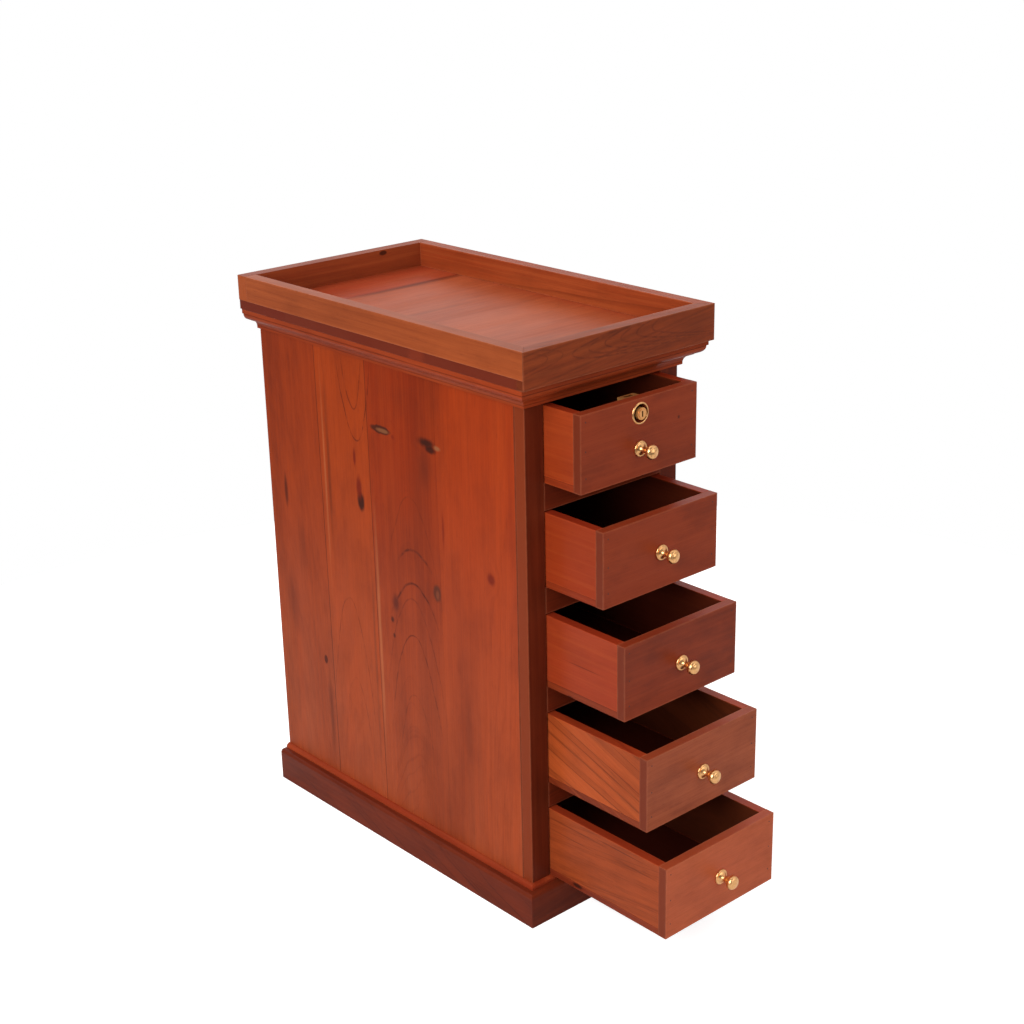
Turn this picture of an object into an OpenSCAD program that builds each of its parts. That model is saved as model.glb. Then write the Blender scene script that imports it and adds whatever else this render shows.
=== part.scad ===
// Narrow chest with five inset drawers, a moulded cornice and a tray top, in millimetres.
// X runs to the right, Y to the back and Z up. The origin is on the floor, in the middle of the
// width and in the plane of the closed drawer fronts. The drawers are drawn standing open.

/* [Case] */
// Width over the two side boards
case_w = 206; // [196:1:236]
// Depth from the closed drawer fronts to the back
case_d = 427; // [410:1:480]
// Thickness of the side boards
side_t = 14; // [12:0.5:16]
// Thickness of the face frame
frame_t = 14; // [12:0.5:18]
// Width of the face frame's stiles
stile_w = 24; // [22:0.5:26]
// Thickness of the back panel
back_t = 8; // [6:0.5:10]
// Thickness of the base board under the bottom drawer
base_t = 5; // [4:0.5:8]
// Height of the rails between the drawers
rail_h = 28; // [22:0.5:34]
// Height of the rail over the top drawer
top_rail_h = 26.5; // [26:0.5:32]

/* [Drawers] */
// Height of a drawer
drawer_h = 77; // [70:1:90]
// Thickness of the front, the sides and the back of a drawer
drawer_t = 10; // [8:0.5:11]
// Thickness of a drawer's bottom board
bottom_t = 7; // [5:0.5:8]
// Gap between a drawer and the rail above it
top_gap = 1.5; // [1:0.1:2.5]
// Gap on each side of a drawer in its opening
side_gap = 1; // [0.6:0.1:1.6]

/* [Tray] */
// How far the tray stands out past the case at each side
side_overhang = 24; // [23:0.5:30]
// How far the tray stands out past the drawer fronts
front_overhang = 26.5; // [24:0.5:32]
// Thickness of the tray's floor board
floor_t = 10; // [8:0.5:14]
// Height of the rim above the tray's floor
rim_h = 27; // [18:0.5:40]
// Thickness of the rim boards
rim_t = 14.5; // [12:0.5:16]

/* [Cornice] */
// How far the cornice stands out past the case
cornice_out = 21.5; // [20:0.5:22]
// Height of the cornice
cornice_h = 25; // [24:0.5:25.5]

/* [Plinth] */
// Height of the plinth boards
plinth_h = 37; // [28:0.5:50]
// How far the plinth stands out past the case
plinth_out = 13; // [9:0.5:18]
// Size of the quarter-round bead on the plinth
bead_r = 5; // [4:0.5:5]

/* [Brass] */
// Diameter of a knob's head
knob_d = 14.5; // [12:0.5:18]
// Projection of a knob from the drawer front
knob_out = 20; // [17:0.5:24]
// Outer diameter of the lock's ring
ring_d = 22; // [20:0.5:23]
// Diameter of the lock's barrel
barrel_d = 12; // [11:0.5:12.5]
// How far the bolt rises over a quarter turn of the plug
bolt_lift = 8; // [6:0.5:8]

/* [Hidden] */
DRAWERS = 5;
// How far each drawer stands open, top to bottom
OPEN = [49, 78, 106, 136, 162];
drawer_parts = ["front", "side_left", "side_right", "back", "bottom", "knob"];

$fn = 64;
eps = 0.01;
// Open hairline where two wooden pieces of one sub-part meet
hairline = 0.05;

half_w = case_w / 2;
opening_w = case_w - 2 * stile_w;
drawer_w = opening_w - 2 * side_gap;
drawer_rear_gap = 19;
drawer_len = case_d - back_t - drawer_rear_gap;
opening_h = drawer_h + top_gap;
pitch = opening_h + rail_h;
base_z = plinth_h + base_t;
opening_top = base_z + (DRAWERS - 1) * pitch + opening_h;
case_top = opening_top + top_rail_h;
overall_h = case_top + floor_t + rim_h;

tray_half = half_w + side_overhang;
tray_y0 = -front_overhang;
// The front rim is rabbeted over the floor board, whose side edges stand a little back
rabbet_w = 5.5;
rabbet_t = rim_t - rabbet_w;
floor_setback = 0.6;

plinth_t = plinth_out + side_t;
plinth_round = 4;

// The guide fills the space beside a drawer, and the ledge is what the drawer slides on
guide_w = stile_w - side_t;
ledge_w = 15;
runner_w = guide_w + ledge_w;
guide_h = 12;

knob_drop = 2;
knob_drop_locked = 11;
ring_up = 24;
rosette_d = knob_d + 1.5;
shank_d = 5;

ring_t = 1.6;
well_d = ring_d - 4;
plug_d = 9;
plug_fit = 0.05;
barrel_proud = 2.5;
lock_w = 34;
lock_deep = 10;
lock_wall = 1.6;
lock_below = 16.5;
lock_top_gap = 1;
pin_r = bolt_lift / sqrt(2);
pin_d = 2.4;
pin_slot_gap = 0.4;
tail_t = 2;
tail_y = drawer_t + lock_wall + 0.4;
bolt_y = tail_y + tail_t + 0.4;
bolt_t = 3;
bolt_neck_w = 10;
bolt_gap = 0.4;
screw_d = 3;
screw_head_d = 5.6;
screw_head_t = 1.2;
screw_in = 6;
screw_from_side = 3.2;
screw_from_foot = 3.5;
screw_from_top = 5;

WOOD = "#a5482a";
WOOD_DARK = "#5f2014";
WOOD_PALE = "#c06a3c";
BRASS = "#c9a14a";

module block(x0, x1, y0, y1, z0, z1) {
    translate([x0, y0, z0]) cube([x1 - x0, y1 - y0, z1 - z0]);
}

module on_right() {
    mirror([1, 0, 0]) children();
}

// A profile drawn as outward distance and height, run along X and facing the front
module run_x(length) {
    translate([-length / 2, 0, 0]) rotate([90, 0, 90]) linear_extrude(length)
        mirror([1, 0]) children();
}

// The same profile run from the front corner to the back and facing the left
module run_y(y0, y1) {
    translate([0, y1, 0]) rotate([90, 0, 0]) linear_extrude(y1 - y0)
        mirror([1, 0]) children();
}

// Plan of a front length up to its mitres: corner is where the outer faces meet
module front_mitre(x_corner, y_corner, reach, z0, z1) {
    translate([0, 0, z0]) linear_extrude(z1 - z0) polygon([
        [-x_corner, y_corner], [x_corner, y_corner],
        [x_corner - reach, y_corner + reach], [-x_corner + reach, y_corner + reach]
    ]);
}

// Plan of a left length behind its mitre
module left_mitre(x_corner, y_corner, reach, y_back, z0, z1) {
    translate([0, 0, z0]) linear_extrude(z1 - z0) polygon([
        [-x_corner, y_corner], [-x_corner + reach, y_corner + reach],
        [-x_corner + reach, y_back], [-x_corner, y_back]
    ]);
}

// Case

module case_side_left() {
    color(WOOD) block(-half_w, -half_w + side_t, frame_t, case_d, plinth_h, case_top);
}

module case_side_right() {
    on_right() case_side_left();
}

module case_back() {
    inner = half_w - side_t;
    color(WOOD_DARK) block(-inner, inner, case_d - back_t, case_d, 0, case_top);
}

// The board stands on the plinth boards and the drawer on it; it fits around the case sides
module case_base() {
    inner = half_w - side_t;
    color(WOOD_DARK) union() {
        block(-opening_w / 2, opening_w / 2, 0, frame_t + eps, plinth_h, base_z);
        block(-inner, inner, frame_t, case_d - back_t, plinth_h, base_z);
    }
}

module stile_left() {
    color(WOOD_DARK) block(-half_w, -opening_w / 2, 0, frame_t, plinth_h, case_top);
}

module stile_right() {
    on_right() stile_left();
}

module top_rail() {
    color(WOOD_DARK) block(-opening_w / 2, opening_w / 2, 0, frame_t, opening_top, case_top);
}

function drawer_z(k) = base_z + (DRAWERS - k) * pitch;

// Rail k lies under drawer k
module rail(k) {
    color(WOOD_DARK)
        block(-opening_w / 2, opening_w / 2, 0, frame_t, drawer_z(k) - rail_h, drawer_z(k));
}

// A bar under each drawer with a guide strip beside it; the bar also keeps the drawer below level
module runners_left() {
    x0 = -half_w + side_t;
    y1 = case_d - back_t;
    color(WOOD_PALE) {
        for (k = [1:DRAWERS - 1]) {
            block(x0, x0 + runner_w, frame_t, y1, drawer_z(k) - rail_h, drawer_z(k));
            block(x0, x0 + guide_w, frame_t, y1, drawer_z(k) + hairline, drawer_z(k) + guide_h);
        }
        block(x0, x0 + guide_w, frame_t, y1, base_z, base_z + guide_h);
        block(x0, x0 + runner_w, frame_t, y1, opening_top, case_top);
    }
}

module runners_right() {
    on_right() runners_left();
}

// Tray

module tray_floor() {
    x = tray_half - floor_setback;
    color(WOOD_DARK) block(-x, x, tray_y0 + rabbet_t, case_d, case_top, case_top + floor_t);
}

module tray_rim_front() {
    color(WOOD) union() {
        front_mitre(tray_half, tray_y0, rim_t, case_top + floor_t, overall_h);
        block(-tray_half, tray_half, tray_y0, tray_y0 + rabbet_t, case_top, case_top + floor_t);
    }
}

module tray_rim_left() {
    color(WOOD)
        left_mitre(tray_half, tray_y0, rim_t, case_d - rim_t, case_top + floor_t, overall_h);
}

module tray_rim_right() {
    on_right() tray_rim_left();
}

module tray_rim_back() {
    color(WOOD)
        block(-tray_half, tray_half, case_d - rim_t, case_d, case_top + floor_t, overall_h);
}

// Cornice: a fillet, an ovolo, a small step, a cove and a bead, from the tray down to the case

module cornice_profile() {
    fillet_h = 5.5;
    step = 1.5;
    round_r = 7;
    cove_r = cornice_out - 2 * step - round_r - 3.5;
    bead_w = 3.5;
    ovolo_x = cornice_out - step;
    ovolo_y = -fillet_h - 1;
    cove_x = ovolo_x - round_r - step;
    cove_y = ovolo_y - round_r - step;
    difference() {
        union() {
            translate([0, -fillet_h]) square([cornice_out, fillet_h]);
            translate([0, ovolo_y]) square([ovolo_x, fillet_h]);
            translate([0, ovolo_y - round_r]) square([ovolo_x - round_r, round_r + 1]);
            intersection() {
                translate([ovolo_x - round_r, ovolo_y]) circle(round_r);
                translate([ovolo_x - round_r - 1, ovolo_y - round_r]) square([round_r + 1, round_r]);
            }
            translate([0, cove_y]) square([cove_x, step + 1]);
            translate([0, cove_y - cove_r]) square([cove_x, cove_r + 1]);
            translate([0, -cornice_h]) square([bead_w, cornice_h]);
        }
        translate([cove_x, cove_y - cove_r]) circle(cove_r);
    }
}

module cornice_front() {
    corner = half_w + cornice_out;
    color(WOOD) intersection() {
        translate([0, 0, case_top]) run_x(2 * corner) cornice_profile();
        front_mitre(corner, -cornice_out, cornice_out, case_top - cornice_h - 1, case_top + 1);
    }
}

module cornice_left() {
    corner = half_w + cornice_out;
    color(WOOD) intersection() {
        translate([-half_w, 0, case_top]) run_y(-cornice_out, case_d) cornice_profile();
        left_mitre(corner, -cornice_out, cornice_out, case_d, case_top - cornice_h - 1, case_top + 1);
    }
}

module cornice_right() {
    on_right() cornice_left();
}

// Plinth

module plinth_profile() {
    difference() {
        translate([-side_t, 0]) square([plinth_t, plinth_h]);
        difference() {
            translate([plinth_out - plinth_round, plinth_h - plinth_round])
                square(plinth_round + 1);
            translate([plinth_out - plinth_round, plinth_h - plinth_round]) circle(plinth_round);
        }
    }
}

module plinth_front() {
    corner = half_w + plinth_out;
    color(WOOD) intersection() {
        run_x(2 * corner) plinth_profile();
        front_mitre(corner, -plinth_out, plinth_t, -1, plinth_h + 1);
    }
}

module plinth_left() {
    corner = half_w + plinth_out;
    color(WOOD) intersection() {
        translate([-half_w, 0, 0]) run_y(-plinth_out, case_d) plinth_profile();
        left_mitre(corner, -plinth_out, plinth_t, case_d, -1, plinth_h + 1);
    }
}

module plinth_right() {
    on_right() plinth_left();
}

module bead_profile() {
    intersection() {
        circle(bead_r);
        square(bead_r);
    }
}

// Three mitred lengths around the foot of the case
module plinth_bead() {
    corner = half_w + bead_r;
    color(WOOD) translate([0, 0, plinth_h]) {
        intersection() {
            run_x(2 * corner) bead_profile();
            front_mitre(corner, -bead_r, bead_r, 0, bead_r);
        }
        for (side = [0, 1]) mirror([side, 0, 0]) intersection() {
            translate([-half_w, 0, 0]) run_y(-bead_r, case_d) bead_profile();
            left_mitre(corner, -bead_r + hairline, bead_r, case_d, 0, bead_r);
        }
    }
}

// Drawers

module in_drawer(k) {
    translate([0, -OPEN[k - 1], drawer_z(k)]) children();
}

knob_z = drawer_h / 2 - knob_drop;
knob_z_locked = drawer_h / 2 - knob_drop_locked;
lock_z = drawer_h / 2 + ring_up;

function knob_height(k) = k == 1 ? knob_z_locked : knob_z;

// A round bar along Y from y0 to y1
module bar_y(d, y0, y1) {
    translate([0, y0, 0]) rotate([-90, 0, 0]) cylinder(d = d, h = y1 - y0);
}

module drawer_front(k) {
    color(WOOD) in_drawer(k) difference() {
        block(-drawer_w / 2, drawer_w / 2, 0, drawer_t, 0, drawer_h);
        translate([0, 0, knob_height(k)]) bar_y(shank_d, -1, drawer_t - 2);
        if (k == 1) translate([0, 0, lock_z]) {
            bar_y(well_d, -1, drawer_t + 1);
            at_lock_screws() bar_y(screw_d + 0.1, drawer_t - screw_in, drawer_t + 1);
        }
    }
}

module drawer_side_left(k) {
    color(WOOD_PALE) in_drawer(k)
        block(-drawer_w / 2, -drawer_w / 2 + drawer_t, drawer_t, drawer_len, bottom_t, drawer_h);
}

module drawer_side_right(k) {
    on_right() drawer_side_left(k);
}

module drawer_back(k) {
    x = drawer_w / 2 - drawer_t;
    color(WOOD_PALE) in_drawer(k)
        block(-x, x, drawer_len - drawer_t, drawer_len, bottom_t, drawer_h);
}

module drawer_bottom(k) {
    color(WOOD_DARK) in_drawer(k)
        block(-drawer_w / 2, drawer_w / 2, drawer_t, drawer_len, 0, bottom_t);
}

// Half section of a knob: a domed rosette, a waisted neck and a flattened ball
module knob_section() {
    rosette_t = 4;
    head_t = 9.5;
    neck_r = 2.8;
    face_r = 10;
    head_y = knob_out - head_t / 2;
    intersection() {
        square([knob_d, knob_out]);
        union() {
            square([rosette_d / 2, 1]);
            intersection() {
                translate([0, rosette_t - rosette_d]) circle(rosette_d, $fn = 128);
                translate([0, 1]) square([rosette_d / 2 - 0.6, rosette_t]);
            }
            square([neck_r, head_y]);
            difference() {
                translate([0, rosette_t - 1]) square([neck_r + 2, 3]);
                translate([neck_r + 2, rosette_t + 2]) circle(2);
            }
            intersection() {
                translate([0, head_y]) circle(knob_d / 2);
                translate([0, knob_out - face_r]) circle(face_r);
                translate([0, knob_out - head_t + face_r]) circle(face_r);
            }
        }
    }
}

module drawer_knob(k) {
    color(BRASS) in_drawer(k) translate([0, 0, knob_height(k)]) {
        rotate([90, 0, 0]) rotate_extrude() knob_section();
        bar_y(shank_d - 0.1, -eps, drawer_t - 2.5);
    }
}

// Drawer lock, in the top drawer

module in_lock() {
    in_drawer(1) translate([0, 0, lock_z]) children();
}

lock_top = drawer_h - lock_top_gap - lock_z;

// The four screws' places at the corners of the lock
module at_lock_screws() {
    for (x = [-1, 1], z = [-lock_below + screw_from_foot, lock_top - screw_from_top])
        translate([x * (lock_w / 2 - screw_from_side), 0, z]) children();
}

module lock_case() {
    y0 = drawer_t;
    y1 = drawer_t + lock_deep;
    inner = lock_w / 2 - 8;
    color(BRASS) in_lock() difference() {
        union() {
            block(-lock_w / 2, lock_w / 2, y0, y0 + lock_wall, -lock_below, lock_top);
            block(-inner - lock_wall, inner + lock_wall, y0, y1, -lock_below, lock_top);
            bar_y(barrel_d, -barrel_proud, y0 + eps);
        }
        block(-inner, inner, y0 + lock_wall, y1 - lock_wall,
              -lock_below + lock_wall, lock_top - lock_wall);
        bar_y(plug_d + 2 * plug_fit, -barrel_proud - 1, y0 + lock_wall + 1);
        block(-bolt_neck_w / 2 - bolt_gap, bolt_neck_w / 2 + bolt_gap,
              bolt_y - bolt_gap, bolt_y + bolt_t + bolt_gap, 0, lock_top + 1);
        at_lock_screws() bar_y(screw_d + 0.2, y0 - 1, y0 + lock_wall + 1);
    }
}

module lock_ring() {
    color(BRASS) in_lock() rotate([90, 0, 0]) rotate_extrude() difference() {
        translate([well_d / 2, 0]) square([(ring_d - well_d) / 2, ring_t]);
        translate([ring_d / 2, ring_t]) rotate(45) square(0.9, center = true);
    }
}

// The plug with its keyway, and the tail disc whose pin drives the bolt
module lock_plug() {
    key_w = 1.6;
    key_h = 6;
    key_deep = 6;
    tail_d = 2 * pin_r + pin_d;
    color(BRASS) in_lock() difference() {
        union() {
            bar_y(plug_d, -barrel_proud - 0.6, tail_y + eps);
            bar_y(tail_d, tail_y, tail_y + tail_t);
            rotate([0, 45, 0]) translate([pin_r, 0, 0])
                bar_y(pin_d, tail_y, bolt_y + bolt_t + 0.2);
        }
        block(-key_w / 2, key_w / 2, -barrel_proud - 1, -barrel_proud + key_deep, -key_h / 2, key_h / 2);
    }
}

// The bolt is drawn back; its slot holds the plug's pin
module lock_bolt() {
    pin_x = pin_r / sqrt(2);
    slot_h = pin_d / 2 + pin_slot_gap;
    plate_h = slot_h + 2.6;
    color(BRASS) in_lock() difference() {
        union() {
            block(-bolt_neck_w / 2, bolt_neck_w / 2, bolt_y, bolt_y + bolt_t, -pin_x, lock_top);
            block(-bolt_neck_w / 2, pin_r + pin_d / 2 + 1.8, bolt_y, bolt_y + bolt_t,
                  -pin_x - plate_h, -pin_x + plate_h);
        }
        block(pin_x - slot_h, pin_r + slot_h, bolt_y - 1, bolt_y + bolt_t + 1,
              -pin_x - slot_h, -pin_x + slot_h);
    }
}

module lock_screws() {
    color(BRASS) in_lock() at_lock_screws() {
        bar_y(screw_d, drawer_t - screw_in, drawer_t + lock_wall + eps);
        bar_y(screw_head_d, drawer_t + lock_wall, drawer_t + lock_wall + screw_head_t);
    }
}

case_side_left();
case_side_right();
case_back();
case_base();
stile_left();
stile_right();
top_rail();
for (k = [1:DRAWERS - 1])
    rail(k);
runners_left();
runners_right();
tray_floor();
tray_rim_front();
tray_rim_left();
tray_rim_right();
tray_rim_back();
cornice_front();
cornice_left();
cornice_right();
plinth_front();
plinth_left();
plinth_right();
plinth_bead();
lock_case();
lock_ring();
lock_plug();
lock_bolt();
lock_screws();
for (k = [1:DRAWERS]) {
    drawer_front(k);
    drawer_side_left(k);
    drawer_side_right(k);
    drawer_back(k);
    drawer_bottom(k);
    drawer_knob(k);
}
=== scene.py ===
"""Dresses the narrow five-drawer chest: stained boards, moulded trim, polished brass and its studio."""

import logging
import math
from dataclasses import dataclass, replace
from enum import Enum

import bmesh
import bpy
from mathutils import Matrix, Vector


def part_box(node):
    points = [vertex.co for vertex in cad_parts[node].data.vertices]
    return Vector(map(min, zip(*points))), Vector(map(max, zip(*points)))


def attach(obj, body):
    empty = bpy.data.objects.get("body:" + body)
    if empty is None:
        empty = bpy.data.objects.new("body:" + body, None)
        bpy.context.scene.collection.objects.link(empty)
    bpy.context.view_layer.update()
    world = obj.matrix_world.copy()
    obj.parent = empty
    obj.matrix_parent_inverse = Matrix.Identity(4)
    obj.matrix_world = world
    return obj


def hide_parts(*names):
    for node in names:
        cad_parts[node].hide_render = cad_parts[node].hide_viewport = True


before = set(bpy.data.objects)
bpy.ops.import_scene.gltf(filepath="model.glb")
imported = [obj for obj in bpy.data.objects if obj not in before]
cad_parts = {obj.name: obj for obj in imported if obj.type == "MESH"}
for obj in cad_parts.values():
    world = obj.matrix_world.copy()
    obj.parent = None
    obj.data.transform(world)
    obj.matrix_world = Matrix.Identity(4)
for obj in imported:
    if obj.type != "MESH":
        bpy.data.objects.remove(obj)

LOG = logging.getLogger("chest")
MM = 0.001
Colour = tuple[float, float, float]
Place = tuple[float, float, float]
Socket = bpy.types.NodeSocket
Material = bpy.types.Material


def seen(red: float, green: float, blue: float) -> Colour:
    """Turns a colour as a screen shows it into the linear one that a shader takes.

    Args:
        red, green, blue: the colour from 0 to 255.

    Returns:
        The linear colour.
    """
    shares = [v / 255 for v in (red, green, blue)]
    return tuple(v / 12.92 if v < 0.04045 else ((v + 0.055) / 1.055) ** 2.4 for v in shares)


class Axis(Enum):
    """The way that a board's grain runs."""

    X = 0
    Y = 1
    Z = 2

    def order(self) -> tuple[int, int, int]:
        """Gives the two axes across the grain and then the one along it."""
        return {Axis.X: (1, 2, 0), Axis.Y: (0, 2, 1), Axis.Z: (0, 1, 2)}[self]


@dataclass(frozen=True)
class Layer:
    """A layer of noise in a finish.

    scale is in waves per metre, stretch below 1 draws the layer out along the grain, and low and
    high are the values between which it comes to show.
    """

    scale: float
    detail: float = 2.0
    rough: float = 0.5
    stretch: float = 1.0
    low: float = 0.3
    high: float = 0.7


# How the growth lines wander, how strong they are, and the clouds of stain round them
WANDER = Layer(14.0)
LINE_STRENGTH = Layer(9.0, low=0.35)
BROAD = Layer(22.0, 3.0, 0.6, high=0.75)
CLOUD = Layer(8.0, 2.0, 0.55, low=0.42, high=0.72)
# The fine figure of the wood, and how the lacquer is rubbed
FIBRE = Layer(900.0, 3.0, 0.6, stretch=0.02)
STREAK = Layer(230.0, 2.0, 0.55, stretch=0.012, low=0.42, high=0.75)
PORES = Layer(1900.0, 1.0, stretch=0.05, low=0.62, high=0.72)
BLOT = Layer(34.0, 4.0, 0.6, stretch=0.5, low=0.4, high=0.72)
RUBBED = Layer(30.0, 3.0, low=0.35)
# The edges of knots, the sway and the gaps of arched lines, and the wear of arrises
RAGGED = Layer(160.0)
SWAY = Layer(40.0)
GAPS = Layer(110.0, 3.0, low=0.35, high=0.62)
CHIPS = Layer(130.0, 3.0)
# Brass, filler and the floor
HAZE = Layer(420.0, 4.0, 0.65, low=0.42, high=0.72)
PITS = Layer(2600.0, low=0.62, high=0.75)
GRIT = Layer(3000.0, 3.0, 0.7)
TOOTH = Layer(60.0, 3.0)
# How squarely a face looks along an axis where a finish starts and where it is full, as cosines
END_FACES = (0.8, 0.95)
TINTED_FACES = (0.75, 0.95)
ARCHED_FACES = (0.5, 0.8)


class Recipe:
    """A material or a world under construction, as a thin layer over its node tree."""

    def __init__(self, owner: Material | bpy.types.World | str) -> None:
        """Starts an empty tree.

        Args:
            owner: a material or a world, or the name of a new material.
        """
        self.owner = bpy.data.materials.new(owner) if isinstance(owner, str) else owner
        self.owner.use_nodes = True
        self.tree = self.owner.node_tree
        self.tree.nodes.clear()

    def node(self, kind: str, inputs: dict[int | str, object], **settings: object) -> bpy.types.Node:
        """Adds a node.

        Args:
            kind: the node's type without its ShaderNode prefix.
            inputs: a socket to link, or a constant to set, for each input.
            settings: the node's own properties.

        Returns:
            The node.
        """
        made = self.tree.nodes.new("ShaderNode" + kind)
        for key, value in settings.items():
            setattr(made, key, value)
        for key, value in inputs.items():
            if isinstance(value, Socket):
                self.tree.links.new(value, made.inputs[key])
            else:
                made.inputs[key].default_value = value
        return made

    def place(self) -> Socket:
        """Gives the place on the object, in metres."""
        return self.node("TexCoord", {}).outputs["Object"]

    def facing(self) -> list[Socket]:
        """Gives the three parts of the direction that the surface faces."""
        return self.split(self.node("NewGeometry", {}).outputs["Normal"])

    def sum(self, operation: str, *values: Socket | float) -> Socket:
        """Works out a number with a Math node."""
        return self.node("Math", dict(enumerate(values)), operation=operation).outputs[0]

    def weighed(self, *parts: tuple[Socket, float], base: float = 0.0) -> Socket:
        """Adds numbers up.

        Args:
            parts: each number with its weight.
            base: what they are added to.

        Returns:
            The total.
        """
        total: Socket | float = base
        for part, weight in parts:
            total = self.sum("MULTIPLY_ADD", part, weight, total)
        return total

    def vector(self, operation: str, *values: Socket | Place) -> Socket:
        """Works out a vector, or a length or product of vectors, with a Vector Math node."""
        made = self.node("VectorMath", dict(enumerate(values)), operation=operation)
        return made.outputs["Value" if operation in ("LENGTH", "DOT_PRODUCT") else "Vector"]

    def split(self, vector: Socket) -> list[Socket]:
        """Gives a vector's three parts."""
        return list(self.node("SeparateXYZ", {0: vector}).outputs)

    def joined(self, *parts: Socket | float) -> Socket:
        """Makes a vector of three parts."""
        return self.node("CombineXYZ", dict(enumerate(parts))).outputs[0]

    def noise(self, place: Socket, layer: Layer) -> Socket:
        """Gives a layer's noise, which lies around a half.

        Args:
            place: where it is read, with the grain along the third part.
            layer: the layer.

        Returns:
            The noise.
        """
        if layer.stretch != 1.0:
            place = self.vector("MULTIPLY", place, (1.0, 1.0, layer.stretch))
        inputs = {"Vector": place, "Scale": layer.scale, "Detail": layer.detail, "Roughness": layer.rough}
        return self.node("TexNoise", inputs, noise_dimensions="3D").outputs[0]

    def line_noise(self, along: Socket, detail: float, rough: float) -> Socket:
        """Gives noise of one number, for bands of uneven width."""
        inputs = {"W": along, "Scale": 1.0, "Detail": detail, "Roughness": rough}
        return self.node("TexNoise", inputs, noise_dimensions="1D").outputs[0]

    def ease(self, value: Socket, low: float, high: float, first: float = 0.0, last: float = 1.0) -> Socket:
        """Eases from one number to another.

        Args:
            value: the number that is watched.
            low, high: its values where the easing starts and ends.
            first, last: the results there.

        Returns:
            The eased number.
        """
        inputs = {"Value": value, "From Min": low, "From Max": high, "To Min": first, "To Max": last}
        return self.node("MapRange", inputs, interpolation_type="SMOOTHSTEP").outputs[0]

    def shown(self, noise: Socket, layer: Layer, first: float = 0.0, last: float = 1.0) -> Socket:
        """Eases a layer's noise between the values where it comes to show."""
        return self.ease(noise, layer.low, layer.high, first, last)

    def blend(self, share: Socket | float, first: Socket | Colour, second: Socket | Colour) -> Socket:
        """Blends two colours.

        Args:
            share: how much of the second one shows, from 0 to 1.
            first, second: the colours.

        Returns:
            The blend.
        """
        pair = [(*v, 1.0) if isinstance(v, tuple) else v for v in (first, second)]
        return self.node("Mix", {0: share, 6: pair[0], 7: pair[1]}, data_type="RGBA").outputs[2]

    def wash(self, colour: Socket | Colour, over: Colour, noise: Socket, layer: Layer,
             share: float) -> Socket:
        """Washes a colour over another where a layer shows, up to a share."""
        return self.blend(self.shown(noise, layer, 0.0, share), colour, over)

    def skin(self, height: Socket, strength: float, depth: float,
             inputs: dict[str, object]) -> Material:
        """Finishes the material with a surface whose fine relief follows a height.

        Args:
            height: the height.
            strength: how strong the relief is, from 0 to 1.
            depth: how deep it is, in metres.
            inputs: the surface shader's other inputs.

        Returns:
            The material.
        """
        bump = self.node("Bump", {"Strength": strength, "Distance": depth, "Height": height})
        surface = self.node("BsdfPrincipled", {**inputs, "Normal": bump.outputs[0]})
        return self.finish(surface.outputs[0])

    def finish(self, shader: Socket) -> Material:
        """Links the shader to the output and gives the material."""
        self.node("OutputMaterial", {"Surface": shader})
        return self.owner


@dataclass(frozen=True)
class Mark:
    """A knot, a dark streak, a pale streak of sapwood, or a patch of painted shade in a board.

    The growth lines bend around it by bend, in metres.
    """

    at: Place
    reach: Place
    colour: Colour
    strength: float = 0.9
    core: float = 0.6
    bend: float = 0.004


@dataclass(frozen=True)
class Arch:
    """A dark growth line that runs up a board, over a top and down again.

    top is its place on the two axes of the face, the second along the grain, and opening the
    square of its half width over its height, in metres: below 0 it hangs like a festoon.
    """

    top: tuple[float, float]
    opening: float
    fall: float
    strength: float
    width: float


@dataclass(frozen=True)
class FaceTint:
    """Another colour for a board's faces that look along an axis, towards its plus or minus end."""

    axis: int
    sign: int
    colour: Colour
    share: float = 0.65


def both_sides(colour: Colour, share: float) -> tuple[FaceTint, ...]:
    """Tints a board's faces to the left and to the right."""
    return tuple(FaceTint(0, sign, colour, share) for sign in (-1, 1))


@dataclass(frozen=True)
class Plank:
    """One of the boards glued up into a panel, from start on along the panel's own axis.

    heart is where the middle of its tree lies, as two places across the grain, and taper how fast
    the growth lines run out of the board's face.
    """

    start: float
    tint: Colour
    heart: tuple[float, float]
    taper: float = 0.05
    seam: float = 0.6


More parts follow.
